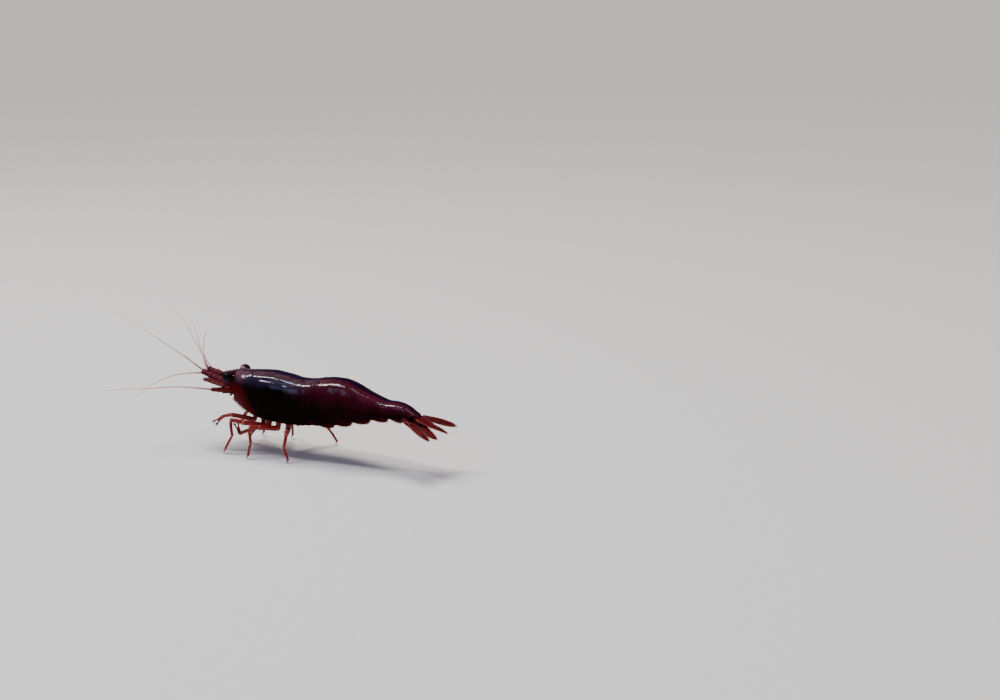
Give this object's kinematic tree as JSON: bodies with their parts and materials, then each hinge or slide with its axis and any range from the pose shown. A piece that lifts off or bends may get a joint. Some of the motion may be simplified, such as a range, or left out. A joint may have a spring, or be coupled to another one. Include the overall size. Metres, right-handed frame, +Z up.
{
  "type": "dwarf aquarium shrimp figure",
  "caption": "Still life-size freshwater shrimp standing on its legs, with long feelers, a shelled body and a spread tail fan.",
  "frame": {"origin": "on the floor, under the middle of the model's bounding box", "axes": "+Z up, head towards -X and tail towards +X, the animal's left side towards -Y"},
  "size_m": [0.0332, 0.0134, 0.0117],
  "materials": {
    "shell": "glossy dark maroon shell",
    "tail_shell": "glossy burgundy shell, thinner and redder",
    "limb": "satin dark red, slightly translucent",
    "feeler": "satin, red at the root and pale towards the tip",
    "eye": "high-gloss black"
  },
  "bodies": {
    "root": {"abdomen_1": "shell", "abdomen_2": "shell", "abdomen_3": "shell", "abdomen_4": "shell", "abdomen_5": "tail_shell", "abdomen_6": "tail_shell", "antenna_base_left": "limb", "antenna_base_right": "limb", "antenna_left": "feeler", "antenna_right": "feeler", "antennal_scale_left": "limb", "antennal_scale_right": "limb", "antennule_left": "limb", "antennule_left_lower": "feeler", "antennule_left_upper": "feeler", "antennule_right": "limb", "antennule_right_lower": "feeler", "antennule_right_upper": "feeler", "carapace": "shell", "eye_left": "eye", "eye_right": "eye", "eyestalk_left": "limb", "eyestalk_right": "limb", "head": "limb", "leg_1_left": "limb", "leg_1_right": "limb", "leg_2_left": "limb", "leg_2_right": "limb", "leg_3_left": "limb", "leg_3_right": "limb", "leg_4_left": "limb", "leg_4_right": "limb", "leg_5_left": "limb", "leg_5_right": "limb", "maxilliped_left": "limb", "maxilliped_right": "limb", "rostrum": "shell", "swimmeret_1_left": "limb", "swimmeret_1_right": "limb", "swimmeret_2_left": "limb", "swimmeret_2_right": "limb", "swimmeret_3_left": "limb", "swimmeret_3_right": "limb", "swimmeret_4_left": "limb", "swimmeret_4_right": "limb", "swimmeret_5_left": "limb", "swimmeret_5_right": "limb", "telson": "tail_shell", "thorax": "limb", "uropod_left_base": "tail_shell", "uropod_left_inner": "tail_shell", "uropod_left_outer": "tail_shell", "uropod_right_base": "tail_shell", "uropod_right_inner": "tail_shell", "uropod_right_outer": "tail_shell"}
  },
  "joints": []
}
